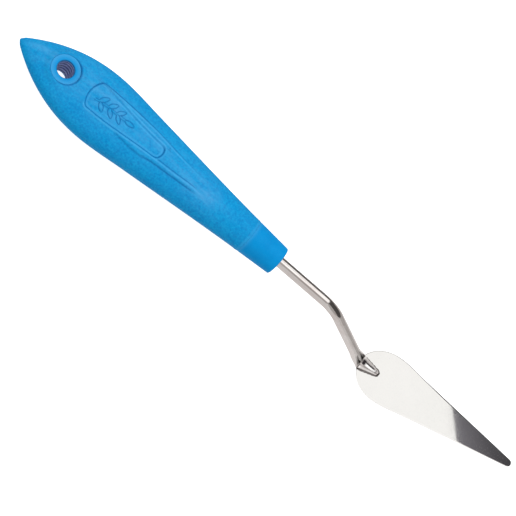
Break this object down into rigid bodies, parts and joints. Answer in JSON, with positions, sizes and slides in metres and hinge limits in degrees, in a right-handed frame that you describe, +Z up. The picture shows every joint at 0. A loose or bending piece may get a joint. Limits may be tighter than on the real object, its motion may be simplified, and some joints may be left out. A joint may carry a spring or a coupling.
{
  "type": "palette knife",
  "caption": "Painting knife with a fish-shaped plastic handle, a cranked round steel shank and a small flat pointed trowel blade, lying on its belly and heel.",
  "frame": {"origin": "on the table under the middle of the lying knife's box", "axes": "+X from the handle's tail to the blade's tip, +Y across the broad faces, +Z up from the table; the handle's axis rises 4.46 degrees towards the blade"},
  "size_m": [0.2342, 0.0276, 0.0208],
  "materials": {
    "grip": "moulded soft satin",
    "core": "moulded semi-gloss",
    "shank_steel": "drawn and polished",
    "blade_steel": "mirror polished",
    "weld": "dressed weld"
  },
  "bodies": {
    "root": {"grip_sleeve": "grip", "handle_core": "core", "shank": "shank_steel", "blade": "blade_steel", "weld_fillet": "weld"}
  },
  "joints": []
}
